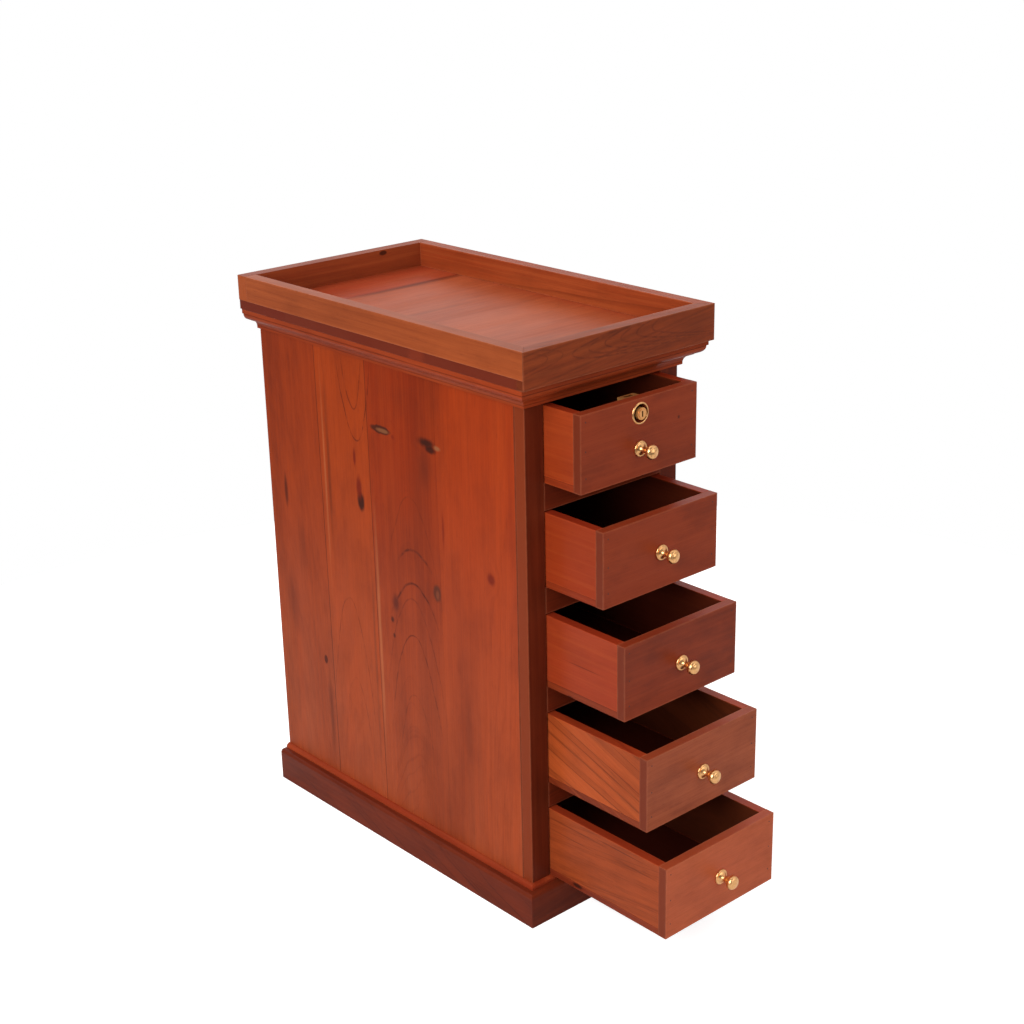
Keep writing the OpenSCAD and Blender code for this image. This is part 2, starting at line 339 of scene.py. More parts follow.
@dataclass(frozen=True)
class StainedWood:
    """Stained and lacquered hardwood, cut from a log: growth lines, fibres, pores and worn arrises with a
    painted highlight.
    """

    name: str
    tint: Colour
    line: Colour
    glow: Colour
    along: Axis
    heart: tuple[float, float] = (0.03, 0.0)
    taper: float = 0.05
    lean: float = 0.0
    ring: float = 0.006
    wander: float = 0.012
    figure: float = 0.55
    mottle: float = 0.35
    shade: float = 0.3
    blotch: float = 0.25
    seed: float = 0.0
    drift_stretch: float = 0.16
    line_level: float = 0.56
    line_width: float = 0.028
    line_detail: tuple[float, float] = (3.0, 0.55)
    fibre_share: float = 0.2
    streak_share: float = 0.22
    pore_share: float = 0.3
    band_share: float = 0.35
    planks: tuple[Plank, ...] = ()
    across: Axis = Axis.Y
    seam_slant: float = 0.0
    seam_tint: Colour = seen(48, 16, 9)
    seam_width: tuple[float, float] = (0.25 * MM, 0.8 * MM)
    marks: tuple[Mark, ...] = ()
    mark_bend_reach: float = 2.6
    mark_edge: float = 0.5
    arches: tuple[Arch, ...] = ()
    arch_axes: tuple[int, int] = (1, 2)
    arch_tint: Colour = seen(74, 26, 15)
    arch_sway: float = 9 * MM
    arch_full: float = 0.3
    # Painted shade: spans on one axis inside a drawer that are blended towards a near-black colour
    inside: tuple[tuple[int, float, float], ...] = ()
    painted_shade_tint: Colour = (0.02, 0.006, 0.004)
    painted_shade_share: float = 0.96
    painted_shade_edge: float = 0.2 * MM
    end_share: float = 0.55
    faces: tuple[FaceTint, ...] = ()
    # Painted reflection: a paler colour towards the floor, between two heights, as if the pale floor showed
    # in the lacquer
    floor_reflection: Colour | None = None
    floor_reflection_heights: tuple[float, float] = (0.02, 0.52)
    floor_reflection_share: float = 0.85
    gloss: float = 0.12
    roughness: float = 0.36
    fibre_rough: float = 0.12
    rubbing: tuple[float, float] = (-0.03, 0.06)
    arris: float = 1.1 * MM
    # Pale colour of the arrises: wear, plus a painted highlight where the rounded edge would catch the light
    arris_wear_and_highlight: Colour = seen(205, 120, 84)
    arris_share: float = 0.4
    arris_chips: float = 1.6
    arris_fade: tuple[float, float] = (0.25, 1.4)
    relief: float = 0.25
    depth: float = 0.12 * MM
    fibre_height: float = 0.5
    pore_height: float = -0.7
    growth_height: float = 0.4
    seam_height: float = -1.5

    def material(self, low: Vector, high: Vector) -> Material:
        """Builds the material for a board between two corners.

        Args:
            low, high: the board's lowest and highest corner at rest.

        Returns:
            The finished material.
        """
        r = Recipe(self.name)
        place = r.place()
        first, second, last = (r.split(place)[i] for i in self.along.order())
        second = r.sum("MULTIPLY_ADD", last, self.lean, second)
        grain = r.joined(first, second, last)
        drawn = r.vector("MULTIPLY", grain, (1.0, 1.0, self.drift_stretch))
        drift = r.vector("ADD", drawn, (self.seed, 0.7 * self.seed, 0.0))
        tint, rings, seams = self._planks(r, place, (first, second, last))
        rings = r.weighed((r.noise(drift, WANDER), self.wander), (rings, 1.0))
        stains = []
        for mark in self.marks:
            spread = self._mark(r, place, drift, mark)
            rings = r.sum("ADD", r.ease(spread, 0.0, self.mark_bend_reach, mark.bend, 0.0), rings)
            stains.append((r.ease(spread, mark.core, 1.0, mark.strength, 0.0), mark.colour))
        # Painted reflection of the pale floor: the colour grows paler towards the bottom
        if self.floor_reflection is not None:
            reflected_low = r.ease(r.split(place)[2], *self.floor_reflection_heights, self.floor_reflection_share, 0.0)
            tint = r.blend(reflected_low, tint, self.floor_reflection)
        colour, growth = self._growth(r, tint, rings, drift)
        fibre, streak, blot = (r.noise(grain, layer) for layer in (FIBRE, STREAK, BLOT))
        pores = r.shown(r.noise(grain, PORES), PORES)
        colour = r.wash(colour, self.line, blot, BLOT, self.blotch)
        colour = r.wash(colour, self.line, fibre, FIBRE, self.fibre_share)
        colour = r.wash(colour, self.glow, streak, STREAK, self.streak_share)
        colour = r.blend(r.sum("MULTIPLY", pores, self.pore_share), colour, self.line)
        for arch in self.arches:
            colour = r.blend(self._arch(r, place, drift, arch), colour, self.arch_tint)
        if seams is not None:
            colour = r.blend(seams, colour, self.seam_tint)
        colour = self._ends(r, colour)
        for share, stain in stains:
            colour = r.blend(share, colour, stain)
        # Painted shade: the surfaces inside a drawer are blended towards a near-black colour
        for axis, start, stop in self.inside:
            colour = r.blend(self._painted_shade(r, r.split(place)[axis], start, stop), colour, self.painted_shade_tint)
        # Arrises lightened by wear and by a painted highlight
        colour = r.blend(self._arris(r, place, low, high), colour, self.arris_wear_and_highlight)
        rubbed = r.shown(r.noise(drift, RUBBED), RUBBED, *self.rubbing)
        rough = r.weighed((fibre, self.fibre_rough), (rubbed, 1.0),
                          base=self.roughness - 0.5 * self.fibre_rough)
        height = r.weighed((fibre, self.fibre_height), (pores, self.pore_height),
                           (growth, self.growth_height))
        if seams is not None:
            height = r.weighed((seams, self.seam_height), (height, 1.0))
        return r.skin(height, self.relief, self.depth, {
            "Base Color": colour, "Roughness": rough, "Specular IOR Level": self.gloss})

    def _planks(self, r: Recipe, place: Socket,
                cut: tuple[Socket, Socket, Socket]) -> tuple[Socket | Colour, Socket, Socket | None]:
        """Lays out the boards of a panel.

        Args:
            r: the material's recipe.
            place: the place on the object.
            cut: the two places across the grain and the one along it.

        Returns:
            The tint, the distance from the middle of the tree, and the seams.
        """
        planks = self.planks or (Plank(0.0, self.tint, self.heart, self.taper),)
        tint: Socket | Colour = planks[0].tint
        shape: Socket | Colour = (*planks[0].heart, planks[0].taper)
        seams = None
        along = r.weighed((cut[2], self.seam_slant), (r.split(place)[self.across.value], 1.0))
        for plank in planks[1:]:
            past = r.sum("GREATER_THAN", along, plank.start)
            tint = r.blend(past, tint, plank.tint)
            shape = r.blend(past, shape, (*plank.heart, plank.taper))
            gap = r.sum("ABSOLUTE", r.sum("SUBTRACT", along, plank.start))
            seam = r.ease(gap, *self.seam_width, plank.seam, 0.0)
            seams = seam if seams is None else r.sum("MAXIMUM", seams, seam)
        if isinstance(shape, tuple):
            shape = r.joined(*shape)
        deep, side, taper = r.split(shape)
        apart = r.joined(r.sum("SUBTRACT", cut[0], deep), r.sum("SUBTRACT", cut[1], side), 0.0)
        away = r.vector("LENGTH", apart)
        return tint, r.sum("ADD", away, r.sum("MULTIPLY", cut[2], taper)), seams

    def _growth(self, r: Recipe, tint: Socket | Colour, rings: Socket,
                drift: Socket) -> tuple[Socket, Socket]:
        """Draws the growth lines.

        Args:
            r: the material's recipe.
            tint: the colour between the lines.
            rings: the distance from the middle of the tree.
            drift: the place that broad patterns follow.

        Returns:
            The colour with its lines, and the lines alone.
        """
        bands = r.line_noise(r.weighed((rings, 1 / self.ring), base=self.seed), *self.line_detail)
        away = r.sum("ABSOLUTE", r.sum("SUBTRACT", bands, self.line_level))
        strength = r.shown(r.noise(drift, LINE_STRENGTH), LINE_STRENGTH, 0.1, 1.0)
        lines = r.sum("MULTIPLY", r.ease(away, 0.0, self.line_width, 1.0, 0.0), strength)
        colour = r.wash(tint, self.glow, r.noise(drift, BROAD), BROAD, self.mottle)
        colour = r.wash(colour, self.line, r.noise(drift, CLOUD), CLOUD, self.shade)
        colour = r.blend(r.ease(bands, 0.35, 0.7, 0.0, self.band_share * self.figure), colour, self.line)
        return r.blend(r.sum("MULTIPLY", lines, self.figure), colour, self.line), lines

    def _mark(self, r: Recipe, place: Socket, drift: Socket, mark: Mark) -> Socket:
        """Measures how far a point is from a mark.

        Args:
            r: the material's recipe.
            place: the place on the object.
            drift: the place that broad patterns follow.
            mark: the mark.

        Returns:
            The distance, 1 at the mark's reach.
        """
        inverse = tuple(1 / v for v in mark.reach)
        apart = r.vector("MULTIPLY", r.vector("SUBTRACT", place, mark.at), inverse)
        edge = self.mark_edge
        return r.weighed((r.noise(drift, RAGGED), edge), (r.vector("LENGTH", apart), 1.0), base=-0.5 * edge)

    def _arch(self, r: Recipe, place: Socket, drift: Socket, arch: Arch) -> Socket:
        """Draws one arched line, on the faces that look along the board's third axis.

        Args:
            r: the material's recipe.
            place: the place on the object.
            drift: the place that broad patterns follow.
            arch: the line.

        Returns:
            The line's share at a point.
        """
        parts = r.split(place)
        side = r.weighed((r.noise(drift, SWAY), self.arch_sway), (parts[self.arch_axes[0]], 1.0),
                         base=-arch.top[0] - 0.5 * self.arch_sway)
        rise = r.sum("SUBTRACT", parts[self.arch_axes[1]], arch.top[1])
        off = r.sum("MULTIPLY_ADD", r.sum("MULTIPLY", side, side), 1 / arch.opening, rise)
        slope = r.sum("MULTIPLY", side, 2 / arch.opening)
        steep = r.sum("SQRT", r.sum("MULTIPLY_ADD", slope, slope, 1.0))
        gap = r.sum("ABSOLUTE", r.sum("DIVIDE", off, steep))
        line = r.ease(gap, 0.0, arch.width, 1.0, 0.0)
        fade = r.ease(r.sum("ABSOLUTE", rise), self.arch_full * arch.fall, arch.fall, arch.strength, 0.0)
        patchy = r.shown(r.noise(place, GAPS), GAPS, 0.25, 1.0)
        third = ({0, 1, 2} - set(self.arch_axes)).pop()
        flat = r.ease(r.sum("ABSOLUTE", r.facing()[third]), *ARCHED_FACES)
        return r.sum("MULTIPLY", r.sum("MULTIPLY", r.sum("MULTIPLY", line, fade), patchy), flat)

    def _ends(self, r: Recipe, colour: Socket) -> Socket:
        """Darkens the end grain, and tints the faces that have a colour of their own.

        Args:
            r: the material's recipe.
            colour: the colour so far.

        Returns:
            The colour.
        """
        facing = r.facing()
        end = r.ease(r.sum("ABSOLUTE", facing[self.along.value]), *END_FACES, 0.0, self.end_share)
        colour = r.blend(end, colour, self.line)
        for face in self.faces:
            towards = r.sum("MULTIPLY", facing[face.axis], float(face.sign))
            colour = r.blend(r.ease(towards, *TINTED_FACES, 0.0, face.share), colour, face.colour)
        return colour

    def _painted_shade(self, r: Recipe, at: Socket, start: float, stop: float) -> Socket:
        """Finds the surfaces inside a drawer, which get a painted near-black shade.

        Args:
            r: the material's recipe.
            at: the place on one axis.
            start, stop: where the shaded span starts and stops.

        Returns:
            The painted shade's share at a point.
        """
        edge = self.painted_shade_edge
        begun = r.ease(at, start - edge, start + edge)
        within = r.sum("MULTIPLY", begun, r.ease(at, stop - edge, stop + edge, 1.0, 0.0))
        return r.sum("MULTIPLY", within, self.painted_shade_share)

    def _arris(self, r: Recipe, place: Socket, low: Vector, high: Vector) -> Socket:
        """Finds the arrises of the board, worn and carrying a painted highlight, with chips in their edge.

        Args:
            r: the material's recipe.
            place: the place on the object.
            low, high: the board's lowest and highest corner.

        Returns:
            The share of the worn and highlighted colour at a point.
        """
        above = r.vector("SUBTRACT", place, tuple(low))
        x, y, z = r.split(r.vector("MINIMUM", above, r.vector("SUBTRACT", tuple(high), place)))
        least = r.sum("MINIMUM", r.sum("MINIMUM", x, y), z)
        most = r.sum("MAXIMUM", r.sum("MAXIMUM", x, y), z)
        middle = r.weighed((x, 1.0), (y, 1.0), (z, 1.0), (least, -1.0), (most, -1.0))
        chips = self.arris_chips * self.arris
        edge = r.weighed((r.noise(place, CHIPS), chips), (middle, 1.0), base=-0.5 * chips)
        full, gone = (share * self.arris for share in self.arris_fade)
        return r.ease(edge, full, gone, self.arris_share, 0.0)


@dataclass(frozen=True)
class Brass:
    """Turned and polished brass with a thin haze of handling and darker pits.

    Within well, a block given by its centre and its reach, it is painted near-black as shade down the lock's
    well.
    """

    name: str
    colour: Colour = seen(240, 182, 122)
    tarnish: Colour = seen(178, 112, 58)
    # Near-black painted shade for the metal seen down the lock's well
    well_shade: Colour = seen(30, 16, 10)
    roughness: float = 0.28
    metal: float = 1.0
    haze_share: float = 0.3
    pit_share: float = 0.4
    haze_rough: float = 0.14
    well: tuple[Place, Place] | None = None
    well_shade_share: float = 0.92
    well_rough: float = 0.3
    relief: float = 0.12
    depth: float = 0.05 * MM

    def material(self) -> Material:
        """Builds the material.

        Returns:
            The finished material.
        """
        r = Recipe(self.name)
        place = r.place()
        haze = r.noise(place, HAZE)
        pits = r.shown(r.noise(place, PITS), PITS)
        colour = r.wash(self.colour, self.tarnish, haze, HAZE, self.haze_share)
        colour = r.blend(r.sum("MULTIPLY", pits, self.pit_share), colour, self.tarnish)
        rough = r.weighed((haze, self.haze_rough), base=self.roughness - 0.05)
        # Painted shade: the metal seen down the lock's well is blended towards a near-black colour
        if self.well is not None:
            centre, reach = self.well
            apart = r.vector("ABSOLUTE", r.vector("SUBTRACT", place, centre))
            x, y, z = r.split(r.vector("DIVIDE", apart, reach))
            deep = r.ease(r.sum("MAXIMUM", r.sum("MAXIMUM", x, y), z), 0.96, 1.0, self.well_shade_share, 0.0)
            colour = r.blend(deep, colour, self.well_shade)
            rough = r.sum("MULTIPLY_ADD", deep, self.well_rough, rough)
        return r.skin(haze, self.relief, self.depth, {
            "Base Color": colour, "Metallic": self.metal, "Roughness": rough})


@dataclass(frozen=True)
class FilledHole:
    """Dark filler rubbed over a punched nail."""

    name: str = "nail_filler"
    colour: Colour = seen(58, 24, 16)
    grain: Colour = seen(28, 12, 9)
    roughness: float = 0.6
    relief: float = 0.4
    depth: float = 0.05 * MM

    def material(self) -> Material:
        """Builds the material.

        Returns:
            The finished material.
        """
        r = Recipe(self.name)
        grit = r.noise(r.place(), GRIT)
        colour = r.wash(self.colour, self.grain, grit, GRIT, 1.0)
        return r.skin(grit, self.relief, self.depth, {"Base Color": colour, "Roughness": self.roughness})


RED_BROWN = StainedWood("red_brown", seen(166, 70, 38), seen(92, 30, 16), seen(186, 88, 48), Axis.Z)


def soften(node: str, width: float) -> None:
    """Rounds a CAD node's arrises with modifiers, its mesh as it is.

    Args:
        node: the node's name.
        width: how far the rounding reaches from the arris, in metres.
    """
    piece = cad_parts[node]
    weld = piece.modifiers.new("weld", "WELD")
    weld.merge_threshold = 0.01 * MM
    bevel = piece.modifiers.new("arris", "BEVEL")
    bevel.width, bevel.segments, bevel.profile = width, 3, 0.5
    bevel.limit_method, bevel.angle_limit = "ANGLE", math.radians(40)
    bevel.use_clamp_overlap = True
    smooth = piece.modifiers.new("shading", "WEIGHTED_NORMAL")
    smooth.keep_sharp = False
    smooth.weight = 100


def paint(node: str, material: Material) -> None:
    """Gives a CAD node its one material.

    Args:
        node: the node's name.
        material: its finish.
    """
    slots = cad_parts[node].data.materials
    slots.clear()
    slots.append(material)
    LOG.info("%s: %s", node, material.name)


def dress_wood(node: str, finish: StainedWood, rounding: float) -> None:
    """Dresses a wooden CAD node and softens its arrises.

    Args:
        node: the node's name, which names its material too.
        finish: what the board is made of.
        rounding: how far the arrises are rounded, in metres; none where 0.
    """
    low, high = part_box(node)
    paint(node, replace(finish, name="wood_" + node).material(low, high))
    if rounding:
        soften(node, rounding)


@dataclass
class Carcass:
    """The case: glued-up side panels, face frame, back, base and runners."""

    face: float = -103 * MM
    through: float = 30 * MM
    panel: StainedWood = replace(
        RED_BROWN, ring=0.0075, figure=0.22, wander=0.02, arris_share=0.12, gloss=0.08)
    dark: StainedWood = replace(
        RED_BROWN, tint=seen(104, 36, 18), line=seen(58, 20, 11), glow=seen(124, 50, 26), arris_share=0.15,
        figure=0.45, gloss=0.06)

    def side_marks(self) -> tuple[Mark, ...]:
        """Gives the knots and streaks of the left panel.

        Each row has a depth and a height, the reach to both sides and up and down, all in
        millimetres, and then the mark's colour, strength, core and bend.

        Returns:
            The marks.
        """
        dark, black, rust, sap = seen(74, 26, 14), seen(36, 16, 12), seen(112, 30, 14), seen(196, 122, 78)
        rows = (
            (150, 452, 14, 34, seen(96, 34, 18), 0.55, 0.0, 0.0),
            (219, 477.5, 19, 5.2, seen(58, 28, 18), 0.85, 0.7, 0.008),
            (216, 477.0, 14, 3.0, seen(134, 82, 52), 0.8, 0.4, 0.0),
            (146, 480, 18, 7.0, seen(44, 20, 14), 0.9, 0.2, 0.010),
            (140, 474, 12, 5.0, black, 0.85, 0.3, 0.0),
            (129, 478, 7, 3.6, seen(146, 92, 58), 0.8, 0.3, 0.0),
            (259, 389, 7.5, 14, black, 0.9, 0.5, 0.009),
            (261, 404, 6.5, 17, rust, 0.9, 0.3, 0.004),
            (267, 437, 3.2, 13, rust, 0.9, 0.3, 0.002),
            (137.5, 321, 7.5, 11.5, seen(84, 40, 26), 0.9, 0.55, 0.007),
            (136.5, 319, 4.0, 7.0, seen(128, 62, 38), 0.7, 0.3, 0.0),
            (207, 289, 8.0, 14, seen(92, 34, 22), 0.9, 0.2, 0.006),
            (214, 268, 4.0, 5.0, dark, 0.9, 0.3, 0.002),
            (212, 250, 3.4, 4.4, dark, 0.9, 0.3, 0.001),
            (52.7, 361, 8.0, 9.0, rust, 0.9, 0.3, 0.006),
            (200, 474, 4.0, 4.0, rust, 0.6, 0.2, 0.0),
            (398, 368, 4.5, 26, dark, 0.75, 0.3, 0.003),
            (341, 179, 4.0, 6, dark, 0.9, 0.6, 0.003),
            (335, 110, 6.0, 95, dark, 0.5, 0.0, 0.0),
            (321, 400, 2.6, 170, sap, 0.3, 0.0, 0.0),
            (314, 420, 5.0, 160, seen(70, 28, 14), 0.5, 0.0, 0.0),
            (236.5, 250, 4.0, 190, sap, 0.38, 0.0, 0.0),
            (247, 210, 3.6, 160, seen(110, 52, 30), 0.5, 0.0, 0.0),
            (124, 395, 2.6, 32, rust, 0.7, 0.0, 0.0),
            (21, 440, 5.0, 120, seen(120, 40, 20), 0.35, 0.0, 0.0),
            (14.3, 300, 1.5, 900, seen(56, 20, 12), 0.7, 0.2, 0.0),
            (398, 232, 16, 60, seen(98, 36, 20), 0.5, 0.0, 0.0),
            (372, 305, 12, 50, seen(98, 36, 20), 0.4, 0.0, 0.0),
        )
        return tuple(Mark((self.face, y * MM, z * MM), (self.through, wide * MM, tall * MM), *rest)
                     for y, z, wide, tall, *rest in rows)

    def left_panel(self) -> StainedWood:
        """Gives the left panel's finish.

        Returns:
            The finish of four boards, which follows the photograph.
        """
        planks = (
            Plank(0.0, seen(164, 56, 18), (-0.30, -0.30), 0.02),
            Plank(128 * MM, seen(150, 47, 13), (-0.118, 0.176), 0.11, 0.12),
            Plank(238 * MM, seen(165, 62, 20), (-0.122, 0.262), 0.09),
            Plank(325.5 * MM, seen(150, 54, 20), (-0.20, 0.48), 0.25),
        )
        arches = (
            Arch((0.1725, 0.3575), 0.045, 0.020, 0.85, 2.4 * MM),
            Arch((0.1748, 0.3200), 0.034, 0.050, 0.9, 2.2 * MM),
            Arch((0.1786, 0.2600), 0.016, 0.150, 0.7, 1.4 * MM),
            Arch((0.1760, 0.4150), 0.020, 0.110, 0.35, 1.4 * MM),
            Arch((0.1786, 0.3020), 0.020, 0.160, 0.45, 1.4 * MM),
            Arch((0.1800, 0.1900), 0.012, 0.120, 0.35, 1.4 * MM),
            Arch((0.2625, 0.4560), -0.010, 0.110, 0.75, 1.6 * MM),
            Arch((0.2650, 0.4900), -0.005, 0.080, 0.6, 1.4 * MM),
            Arch((0.2900, 0.2700), 0.010, 0.220, 0.45, 1.4 * MM),
            Arch((0.2850, 0.1750), 0.008, 0.120, 0.35, 1.4 * MM),
        )
        # The paler colour low on the panel is a painted reflection of the floor
        return replace(self.panel, planks=planks, shade=0.5, seed=3.1, marks=self.side_marks(), arches=arches,
                       glow=seen(176, 68, 25), floor_reflection=seen(163, 77, 43), seam_slant=-0.008)

    def right_panel(self) -> StainedWood:
        """Gives the right panel's finish.

        Returns:
            The finish of four boards of its own.
        """
        planks = (
            Plank(0.0, seen(152, 58, 27), (0.15, 0.05), 0.04),
            Plank(104 * MM, seen(164, 66, 30), (0.12, 0.15), 0.09),
            Plank(206 * MM, seen(142, 53, 26), (0.20, 0.31), 0.05, 0.2),
            Plank(318 * MM, seen(158, 62, 28), (0.118, 0.37), 0.10),
        )
        dark = seen(70, 26, 16)
        marks = (
            Mark((-self.face, 0.152, 0.43), (0.03, 0.007, 0.011), dark, bend=0.008),
            Mark((-self.face, 0.355, 0.22), (0.03, 0.006, 0.009), dark, bend=0.007),
            Mark((-self.face, 0.262, 0.515), (0.03, 0.003, 0.02), dark, bend=0.003),
            Mark((-self.face, 0.06, 0.16), (0.03, 0.004, 0.006), seen(112, 30, 14), bend=0.005),
        )
        arches = (
            Arch((0.150, 0.36), 0.024, 0.100, 0.35, 1.6 * MM),
            Arch((0.152, 0.31), 0.015, 0.140, 0.3, 1.6 * MM),
            Arch((0.372, 0.47), 0.013, 0.150, 0.3, 1.6 * MM),
            Arch((0.370, 0.39), 0.018, 0.120, 0.3, 1.6 * MM),
        )
        # The paler colour low on the panel is a painted reflection of the floor
        return replace(self.panel, planks=planks, shade=0.4, seed=8.4, marks=marks, arches=arches,
                       glow=seen(178, 76, 34), floor_reflection=seen(168, 76, 40))

    def dress(self) -> None:
        """Dresses every node of the case."""
        dress_wood("case_side_left", self.left_panel(), 0.6 * MM)
        dress_wood("case_side_right", self.right_panel(), 0.6 * MM)
        back = (
            Plank(0.0, seen(120, 50, 30), (0.44, -0.10), 0.07),
            Plank(-22 * MM, seen(132, 56, 32), (0.44, 0.02), 0.09),
            Plank(46 * MM, seen(116, 46, 28), (0.46, 0.10), 0.05),
        )
        dress_wood("case_back", replace(
            RED_BROWN, planks=back, across=Axis.X, along=Axis.Z, seed=5.2, line=seen(66, 26, 16),
            glow=seen(142, 66, 40), ring=0.009), 0.5 * MM)
        dress_wood("case_base", replace(self.dark, along=Axis.X, seed=1.3), 0.4 * MM)
        stile = replace(self.dark, along=Axis.Z, heart=(-0.14, -0.09), ring=0.005, taper=0.03, seed=2.2,
                        faces=both_sides(seen(134, 56, 28), 0.8), arris_share=0.12)
        dress_wood("stile_left", stile, 0.8 * MM)
        dress_wood("stile_right", replace(stile, heart=(0.15, -0.07), seed=7.2), 0.8 * MM)
        rail = replace(self.dark, along=Axis.X, tint=seen(118, 40, 20), ring=0.005)
        dress_wood("top_rail", replace(rail, heart=(0.05, 0.60), seed=4.5), 0.5 * MM)
        for k in range(1, 5):
            finish = replace(rail, heart=(0.04 + 0.01 * k, 0.1 * k), seed=11.3 * k)
            dress_wood(f"rail_{k}", finish, 0.5 * MM)
        runner = replace(self.dark, along=Axis.Y, tint=seen(96, 42, 26), ring=0.007, roughness=0.55)
        dress_wood("runners_left", replace(runner, seed=21.0), 0.0)
        dress_wood("runners_right", replace(runner, seed=26.0), 0.0)


@dataclass
class Tray:
    """The tray top: a floor of short boards between four rim boards."""

    rim: StainedWood = replace(
        RED_BROWN, tint=seen(160, 76, 38), line=seen(98, 38, 18), glow=seen(182, 92, 48), ring=0.006,
        figure=0.4, taper=0.02, arris_share=0.18, gloss=0.12)
    rounding: float = 0.35 * MM

    def front_arches(self) -> tuple[Arch, ...]:
        """Gives the front rim's flame figure.

        Returns:
            The arches, which open to both sides of a plain middle.
        """
        right = tuple(Arch((0.5965 + 0.001 * k, (-66 + 21 * k) * MM), -0.0024 - 0.0003 * k, 0.17,
                           0.45 if k % 2 else 0.6, 1.5 * MM) for k in range(6))
        left = tuple(Arch((0.5990, (-78 - 19 * k) * MM), 0.0040, 0.09, 0.4, 1.4 * MM) for k in range(2))
        return right + left

    def dress(self) -> None:
        """Dresses the tray's five boards."""
        boards = (
            Plank(-0.1, seen(168, 80, 46), (0.02, 0.63), 0.05),
            Plank(112 * MM, seen(174, 84, 48), (0.16, 0.66), 0.05, 0.1),
            Plank(196 * MM, seen(164, 76, 42), (0.24, 0.62), 0.08, 0.15),
            Plank(274 * MM, seen(174, 82, 48), (0.30, 0.65), 0.04, 0.1),
            Plank(344 * MM, seen(164, 58, 30), (0.40, 0.66), 0.03, 0.3),
        )
        streaks = (
            Mark((0.05, 0.343, 0.583), (0.16, 0.010, 0.02), seen(84, 32, 20), 0.75, core=0.0, bend=0.0),
            Mark((0.118, 0.16, 0.583), (0.034, 0.22, 0.02), seen(150, 50, 22), 0.55, core=0.0, bend=0.0),
            Mark((-0.02, 0.236, 0.583), (0.12, 0.006, 0.02), seen(120, 56, 34), 0.5, core=0.0, bend=0.0),
            Mark((-0.127, 0.127, 0.578), (0.004, 0.015, 0.02), seen(124, 46, 24), 0.75, core=0.4, bend=0.0),
        )
        # The floor's edge faces show as a band under the rims and are tinted near-black: darker end grain at
        # the sides, with painted shade of the recess
        dress_wood("tray_floor", replace(
            RED_BROWN, planks=boards, along=Axis.X, across=Axis.Y, marks=streaks, ring=0.007, figure=0.2,
            end_share=0.0, line=seen(110, 44, 24), seed=2.7, glow=seen(190, 96, 56), arris_share=0.0,
            faces=(*both_sides(seen(100, 32, 16), 0.92), FaceTint(1, -1, seen(84, 28, 16), 0.95)),
            gloss=0.14), 0.3 * MM)
        joint = Mark((-0.127, -0.0264, 0.5965), (0.05, 0.0011, 0.05), seen(70, 30, 18), 0.75, core=0.3,
                     bend=0.0)
        dress_wood("tray_rim_front", replace(
            self.rim, along=Axis.X, heart=(-0.034, 0.640), taper=0.14, ring=0.005, figure=0.75, seed=6.1,
            tint=seen(140, 58, 26), glow=seen(160, 76, 36), line=seen(78, 30, 14),
            arches=self.front_arches(), arch_axes=(2, 0)), self.rounding)
        dress_wood("tray_rim_left", replace(
            self.rim, along=Axis.Y, heart=(-0.16, 0.66), ring=0.005, seed=9.6, marks=(joint,)),
            self.rounding)
        dress_wood("tray_rim_right", replace(
            self.rim, along=Axis.Y, heart=(0.17, 0.56), tint=seen(156, 64, 30), seed=4.8), self.rounding)
        knot = Mark((0.0587, 0.4125, 0.6063), (0.006, 0.02, 0.003), seen(60, 24, 14), bend=0.004)
        dress_wood("tray_rim_back", replace(
            self.rim, along=Axis.X, heart=(0.44, 0.58), tint=seen(136, 56, 28), marks=(knot,), seed=1.9,
            end_share=0.0, faces=both_sides(seen(160, 76, 38), 1.0), arris_share=0.0), self.rounding)


@dataclass
class Mouldings:
    """The cornice under the tray, and the plinth with its bead."""

    rounding: float = 0.35 * MM
    cornice: StainedWood = replace(
        RED_BROWN, tint=seen(160, 61, 28), line=seen(108, 36, 18), ring=0.005, figure=0.3, mottle=0.3,
        arris_share=0.0, gloss=0.06)
    plinth: StainedWood = replace(
        RED_BROWN, tint=seen(112, 40, 20), line=seen(62, 22, 13), glow=seen(134, 54, 28), ring=0.007,
        figure=0.6, arris_share=0.0, end_share=0.2, gloss=0.08)

    def quirks(self) -> tuple[Mark, ...]:
        """Gives the dark lines of painted shade in the cornice's recessed steps.

        Returns:
            The lines, which run all round.
        """
        steps = ((572.7, 0.9, 0.6), (567.0, 1.1, 0.8), (559.2, 1.1, 0.8), (550.8, 0.8, 0.5))
        # Painted shade: dark lines at the heights of the recessed steps, all round
        recess_shade = seen(76, 24, 13)
        return tuple(Mark((0.0, 0.2, height * MM), (9.0, 9.0, wide * MM), recess_shade, share, core=0.1, bend=0.0)
                     for height, wide, share in steps)

    def dress(self) -> None:
        """Dresses the moulded lengths, each with its grain along it."""
        for number, (side, along) in enumerate({"front": Axis.X, "left": Axis.Y, "right": Axis.Y}.items()):
            dress_wood(f"cornice_{side}", replace(
                self.cornice, along=along, seed=3.7 * number, heart=(-0.02 * number, 0.60),
                marks=self.quirks()), self.rounding)
            dress_wood(f"plinth_{side}", replace(
                self.plinth, along=along, seed=5.9 * number + 1.0, heart=(0.02 * number, 0.06),
                taper=0.12), self.rounding)
        dress_wood("plinth_bead", replace(
            self.cornice, tint=seen(140, 46, 22), along=Axis.Y, seed=8.8), 0.0)


